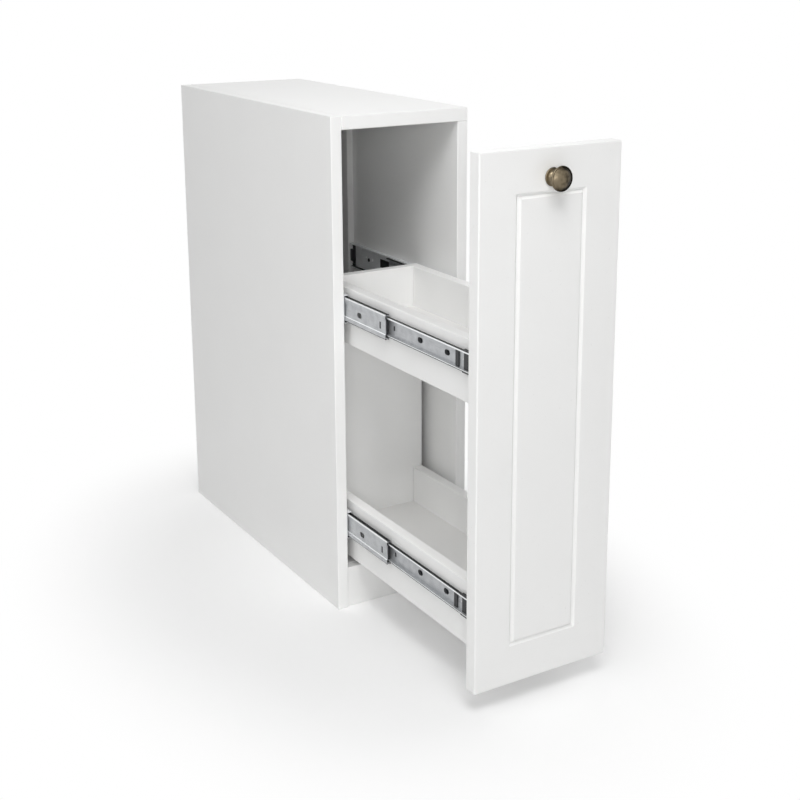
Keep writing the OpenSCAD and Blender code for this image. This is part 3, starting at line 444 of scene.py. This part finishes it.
finish, tree, shader = new_finish("antique_brass")
shader.inputs["Metallic"].default_value = 1
where = add_node(tree, "ShaderNodeTexCoord").outputs["Object"]
centred = add_node(tree, "ShaderNodeVectorMath", {0: where, 1: (0, 0, knob_axis.z)},
                   operation="SUBTRACT").outputs[0]
flat = add_node(tree, "ShaderNodeVectorMath", {0: centred, 1: (1, 0, 1)}, operation="MULTIPLY").outputs[0]
radius = add_node(tree, "ShaderNodeVectorMath", {0: flat}, operation="LENGTH").outputs["Value"]
rim = add_node(tree, "ShaderNodeMapRange", {"Value": radius, "From Min": 0.55 * KNOB_RADIUS,
                                           "From Max": 0.95 * KNOB_RADIUS}).outputs[0]
place = add_node(tree, "ShaderNodeSeparateXYZ", {0: where})
cloud = pattern(tree, 7 * MM, detail=3.0)
patina_and_painted_light = add_node(tree, "ShaderNodeMath", {0: rim, 1: 0.45, 2: cloud}, operation="MULTIPLY_ADD").outputs[0]
# Painted light: the left half is lighter and the right half darker
patina_and_painted_light = add_node(tree, "ShaderNodeMath", {0: place.outputs["X"], 1: 0.5 / KNOB_RADIUS, 2: patina_and_painted_light},
                  operation="MULTIPLY_ADD").outputs[0]
patina_and_painted_light = add_node(tree, "ShaderNodeMapRange",
                  {"Value": patina_and_painted_light, "From Min": 0.35, "From Max": 0.95}).outputs[0]
tone = add_node(tree, "ShaderNodeMix", {0: patina_and_painted_light, 6: linear("#7b705d"), 7: linear("#1d1912")},
                data_type="RGBA")
# The neck behind the head is painted paler, as a painted highlight
NECK_MIDDLE = knob_low.y + 14 * MM
NECK_HALF = 6 * MM
neck = add_node(tree, "ShaderNodeMath", {0: place.outputs["Y"], 1: NECK_MIDDLE, 2: NECK_HALF},
                operation="COMPARE").outputs[0]
tone = add_node(tree, "ShaderNodeMix", {0: neck, 6: tone.outputs[2], 7: linear("#b9ad95")},
                data_type="RGBA")
tree.links.new(tone.outputs[2], shader.inputs["Base Color"])
MARK_WIDTH = 0.5 * MM
marks = add_node(tree, "ShaderNodeTexNoise", {"W": radius, "Scale": 1 / MARK_WIDTH, "Detail": 2.0},
                 noise_dimensions="1D")
rough = add_node(tree, "ShaderNodeMapRange", {"Value": patina_and_painted_light, "To Min": 0.36, "To Max": 0.46})
tree.links.new(rough.outputs[0], shader.inputs["Roughness"])
bump = add_node(tree, "ShaderNodeBump",
                {"Height": marks.outputs["Fac"], "Distance": 0.02 * MM, "Strength": 0.5})
tree.links.new(bump.outputs[0], shader.inputs["Normal"])
finishes["aged_brass"] = finish
print("knob", round(2000 * KNOB_RADIUS, 1), "mm across, axis at z =", round(knob_axis.z, 4))

# %% [markdown]
# ## Give every CAD part its finish
# The record names a finish for each part of the CAD model. Most parts, such as rails, screws, cams and
# bearing cages, are already exact, so they stay as they are and only get the right surface.

# %% Finishes of the CAD parts
slot_of = {part["node"]: part["material_slot"] for part in frame["record"]["subparts"]}
for name, node in frame["nodes"].items():
    if not node.material_slots:
        node.data.materials.append(None)
    kind = "_".join(name.split("_")[-2:])
    for material_slot in node.material_slots:
        material_slot.material = rail_finishes.get(kind, finishes[slot_of[name]])
print(len(frame["nodes"]), "CAD parts have a finish")

# %% [markdown]
# ## How a board is made
# A real board is cut square, and its edges are banded and then eased with a small radius. The eye reads that
# radius as a thin bright line along every edge. The board starts as a cube at its size and place, and a bevel
# in edit mode rounds all its edges. Pockets for cam fittings and grooves for thin panels are cut with a
# boolean, as a drill and a saw would. At the end the weighted normals keep the wide faces flat and let only
# the narrow roundings shade smoothly.

# %% Tools for boards
def make_active(piece):
    """Selects one piece only, so that operators act on nothing else."""
    bpy.ops.object.select_all(action="DESELECT")
    piece.select_set(True)
    bpy.context.view_layer.objects.active = piece


def add_block(name, low, high):
    """A block between two corners, with its place in its mesh."""
    bpy.ops.object.select_all(action="DESELECT")
    bpy.ops.mesh.primitive_cube_add(size=1, location=(low + high) / 2, scale=high - low)
    block = bpy.context.object
    block.name = block.data.name = name
    bpy.ops.object.transform_apply(location=True, rotation=True, scale=True)
    return block


def select_in_edit(piece, kind, wanted):
    """Goes into edit mode with only the wanted faces or edges selected."""
    make_active(piece)
    bpy.ops.object.mode_set(mode="EDIT")
    bpy.ops.mesh.select_mode(type=kind)
    bpy.ops.mesh.select_all(action="DESELECT")
    bpy.ops.object.mode_set(mode="OBJECT")
    for element in piece.data.polygons if kind == "FACE" else piece.data.edges:
        element.select = wanted(element)
    bpy.ops.object.mode_set(mode="EDIT")


def edge_ends(piece, edge):
    """The two end points of an edge."""
    return [piece.data.vertices[i].co for i in edge.vertices]


def apply_modifier(piece, kind, **settings):
    """Adds a modifier with its settings and applies it."""
    make_active(piece)
    bpy.ops.object.modifier_add(type=kind)
    modifier = piece.modifiers[-1]
    for name, value in settings.items():
        setattr(modifier, name, value)
    bpy.ops.object.modifier_apply(modifier=modifier.name)


def cut_away(piece, cutter):
    """Takes the cutter's shape out of the piece and removes the cutter."""
    apply_modifier(piece, "BOOLEAN", operation="DIFFERENCE", solver="EXACT", object=cutter)
    make_active(cutter)
    bpy.ops.object.delete()


def shade_piece(piece, sharp_above=35):
    """Smooth roundings beside flat faces."""
    make_active(piece)
    bpy.ops.object.shade_smooth_by_angle(angle=math.radians(sharp_above))
    apply_modifier(piece, "WEIGHTED_NORMAL", keep_sharp=True)


# %% A rounded board in the place of a CAD board
BOARD_RADIUS = 1.5 * MM
BOARD_STEPS = 3


def add_board(node):
    """A board with rounded edges that fills a CAD board's box."""
    low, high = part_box(node)
    board = add_block(node + "_board", low, high)
    select_in_edit(board, "EDGE", lambda edge: True)
    bpy.ops.mesh.bevel(offset=BOARD_RADIUS, segments=BOARD_STEPS, affect="EDGES")
    bpy.ops.object.mode_set(mode="OBJECT")
    return board


def finish_board(board, node, body, banded=None):
    """Shades the board, gives it its finish and puts it on its body instead of the CAD board.

    The faces for whose middle banded says true are edge band.
    """
    shade_piece(board)
    board.data.materials.clear()
    board.data.materials.append(finishes[slot_of[node]])
    if banded:
        board.data.materials.append(edge_band)
        for face in board.data.polygons:
            face.material_index = int(banded(face.center))
    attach(board, body)
    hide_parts(node)
    print(board.name, len(board.data.polygons), "faces")


# %% [markdown]
# ## Boards of the carcass
# Two sides, a top that butts against the left side and covers the right one, a bottom and a kickboard. The
# top and the bottom are held by cams, round metal fittings that sit in 15 mm pockets drilled from below.
# The back panel slides in a groove that runs round all four boards.

# %% Sides, top, bottom and kickboard
CAM_POCKET = 15.1 * MM
CAM_DEPTH = 12.55 * MM
SLIP = 0.05 * MM


def drill(place, axis, diameter, depth):
    """A round cutter that starts 1 mm outside a face at place and goes depth metres in along the axis."""
    bpy.ops.object.select_all(action="DESELECT")
    bpy.ops.mesh.primitive_cylinder_add(vertices=48, radius=diameter / 2, depth=depth + 1 * MM,
                                        location=place + axis * (depth - 1 * MM) / 2,
                                        rotation=axis.to_track_quat("Z", "Y").to_euler())
    return bpy.context.object


def groove_for(node, slip):
    """A cutter a little larger than a CAD panel."""
    low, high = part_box(node)
    play = Vector((slip, slip, slip))
    return add_block("groove_cutter", low - play, high + play)


cam_low, cam_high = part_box("carcass_cams")
cam_columns = [cam_low.x + CAM_POCKET / 2, cam_high.x - CAM_POCKET / 2]
cam_rows = [cam_low.y + CAM_POCKET / 2, cam_high.y - CAM_POCKET / 2]
BAND = 1 * MM
UP = Vector((0, 0, 1))
for node in ("side_left", "side_right", "top_panel", "bottom_panel", "kickboard"):
    board = add_board(node)
    low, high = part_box(node)
    if node != "kickboard":
        cut_away(board, groove_for("back_panel", SLIP))
    for x in {"top_panel": cam_columns[:1], "bottom_panel": cam_columns}.get(node, []):
        for y in cam_rows:
            cut_away(board, drill(Vector((x, y, low.z)), UP, CAM_POCKET, CAM_DEPTH))
    finish_board(board, node, "cabinet", lambda middle: middle.y < low.y + BAND)

# %% [markdown]
# ## Boards of the pull-out
# The upper drawer and the tray each have two sides, and one tall panel closes both at the rear. The floors
# are tongues in grooves of the sides. A cam in the inner face of each side pulls it against the front.

# %% Drawer sides, tray sides and rear panel
drawer_cam_low, drawer_cam_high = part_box("drawer_cams")
cam_y = (drawer_cam_low.y + drawer_cam_high.y) / 2
CAM_FROM_TOP = 23 * MM
FLOOR_PLAY = 0.1 * MM
for tier in ("upper", "lower"):
    for side, inwards in (("left", 1), ("right", -1)):
        node = tier + "_side_" + side
        board = add_board(node)
        low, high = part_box(node)
        cut_away(board, groove_for(tier + "_floor", FLOOR_PLAY))
        inner_face = high.x if inwards > 0 else low.x
        place = Vector((inner_face, cam_y, high.z - CAM_FROM_TOP))
        cut_away(board, drill(place, Vector((-inwards, 0, 0)), CAM_POCKET, CAM_DEPTH))
        finish_board(board, node, "pull_out", lambda middle: middle.z > high.z - BAND)
low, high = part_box("pullout_back")
finish_board(add_board("pullout_back"), "pullout_back", "pull_out", lambda middle: middle.z > high.z - BAND)

# %% [markdown]
# ## The routed front
# The front is one piece of fibreboard. A router bit cuts a narrow groove round its field, and spraying leaves
# the groove's edges soft. It is drawn as a router would follow it: the front face is inset to where the
# groove starts, and then inset again and again, each time a little deeper or shallower, along the bit's
# profile. The insets meet in mitres at the corners, as the groove does. The outer edges have a larger radius.

# %% Front board with its edges rounded
FRONT_RADIUS = 2.2 * MM
REAR_RADIUS = 0.8 * MM
front_low, front_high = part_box("front")
front_board = add_block("front_board", front_low, front_high)


def at_rear(edge):
    """Says whether an edge lies in the rear face."""
    return all(abs(end.y - front_high.y) < 0.01 * MM for end in edge_ends(front_board, edge))


select_in_edit(front_board, "EDGE", lambda edge: not at_rear(edge))
bpy.ops.mesh.bevel(offset=FRONT_RADIUS, segments=4, affect="EDGES")
bpy.ops.object.mode_set(mode="OBJECT")
select_in_edit(front_board, "EDGE", at_rear)
bpy.ops.mesh.bevel(offset=REAR_RADIUS, segments=2, affect="EDGES")
bpy.ops.object.mode_set(mode="OBJECT")
print("front board", [round(v * 1000, 1) for v in front_high - front_low], "mm")

# %% The groove, inset by inset
FRAME_WIDTH = 58.6 * MM
# How far in from the groove's outer edge, and how deep, in millimetres
ROUTER_BIT = [(0, 0), (0.5, 0.15), (0.9, 0.5), (3.6, 3.1), (4.1, 3.45), (4.65, 3.6),
              (5.2, 3.45), (5.7, 3.1), (8.4, 0.5), (8.8, 0.15), (9.3, 0)]

select_in_edit(front_board, "FACE", lambda face: face.normal.y < -0.999 and face.area > 0.1)
bpy.ops.mesh.inset(thickness=FRAME_WIDTH - FRONT_RADIUS)
for (before, shallow), (after, deep) in zip(ROUTER_BIT, ROUTER_BIT[1:]):
    bpy.ops.mesh.inset(thickness=(after - before) * MM, depth=(shallow - deep) * MM)
bpy.ops.object.mode_set(mode="OBJECT")
# The rear face has its points at the outline, so the points well inside it belong to the groove
WELL_INSIDE = FRAME_WIDTH / 2
front_middle = (front_low + front_high) / 2
front_half = (front_high - front_low) / 2
groove_floor = max(v.co.y for v in front_board.data.vertices
                   if abs(v.co.x - front_middle.x) < front_half.x - WELL_INSIDE
                   and abs(v.co.z - front_middle.z) < front_half.z - WELL_INSIDE)
finish_board(front_board, "front", "pull_out")
print("groove floor", round((groove_floor - front_low.y) * 1000, 2), "mm deep")

# %% [markdown]
# ## The turned knob
# A knob is turned on a lathe: foot, waist, flared head, a bead round the rim, a fine groove and a low dome.
# In Blender the spin tool is the lathe. A single vertex is extruded along the profile, point by point, and
# the line is then spun round the knob's axis. Spinning leaves a seam and two poles, which are merged.

# %% Draw the profile and spin it
def arc(centre, radius, angles):
    """Points on a circle; 0 degrees is its lowest point, and the angle grows away from the knob's axis."""
    turns = [math.radians(angle) for angle in angles]
    return [(centre[0] + radius * math.sin(turn), centre[1] - radius * math.cos(turn)) for turn in turns]


# Every point is a distance from the axis and a height above the front, in millimetres
KNOB_HEIGHT = 27
DOME_RADIUS = 23.8
waist = arc((11.5, 8.1), 5.5, range(0, -91, -15))
bead = arc((15.9, 20.5), 1.6, range(0, 181, 20))
dome = [(out, KNOB_HEIGHT - DOME_RADIUS + math.sqrt(DOME_RADIUS ** 2 - out ** 2))
        for out in (14.2, 13, 11, 9, 7, 5, 3, 1.5, 0)]
KNOB_PROFILE = [
    # The foot, then the waist
    (0, 0), (11.7, 0), (12.5, 0.35), (13, 1.1), (12.9, 1.9), (12.3, 2.45), *waist,
    # The neck flares to the head's rim, which has the bead
    (6, 11), (6.2, 13.4), (7.2, 14.6), (10, 16.4), (13, 18), (14.6, 18.7), *bead,
    # A fine groove, and the dome up to the axis
    (15.3, 22), (14.95, 21.7), (14.6, 22.1), *dome,
]

knob_base = Vector((knob_axis.x, knob_high.y, knob_axis.z))
bpy.ops.object.select_all(action="DESELECT")
bpy.ops.mesh.primitive_plane_add(size=1 * MM, location=knob_base)
knob = bpy.context.object
knob.name = knob.data.name = "turned_knob"
bpy.ops.object.transform_apply(location=True, rotation=True, scale=True)
bpy.ops.object.mode_set(mode="EDIT")
bpy.ops.mesh.select_mode(type="VERT")
bpy.ops.mesh.select_all(action="SELECT")
bpy.ops.mesh.merge(type="CENTER")
for before, after in zip(KNOB_PROFILE, KNOB_PROFILE[1:]):
    step = ((after[0] - before[0]) * MM, (before[1] - after[1]) * MM, 0)
    bpy.ops.mesh.extrude_region_move(TRANSFORM_OT_translate={"value": step})
bpy.ops.mesh.select_all(action="SELECT")
bpy.ops.mesh.spin(steps=72, angle=math.radians(360), center=knob_base, axis=(0, 1, 0))
bpy.ops.mesh.select_all(action="SELECT")
bpy.ops.mesh.remove_doubles(threshold=0.01 * MM)
bpy.ops.mesh.normals_make_consistent(inside=False)
bpy.ops.object.mode_set(mode="OBJECT")
make_active(knob)
bpy.ops.object.shade_smooth_by_angle(angle=math.radians(50))
knob.data.materials.append(finishes["aged_brass"])
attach(knob, "pull_out")
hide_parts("knob")
print("knob", len(knob.data.polygons), "faces")

# %% [markdown]
# ## Update the scene
# The view layer is updated once more at the end.

# %% Update the view layer
bpy.context.view_layer.update()
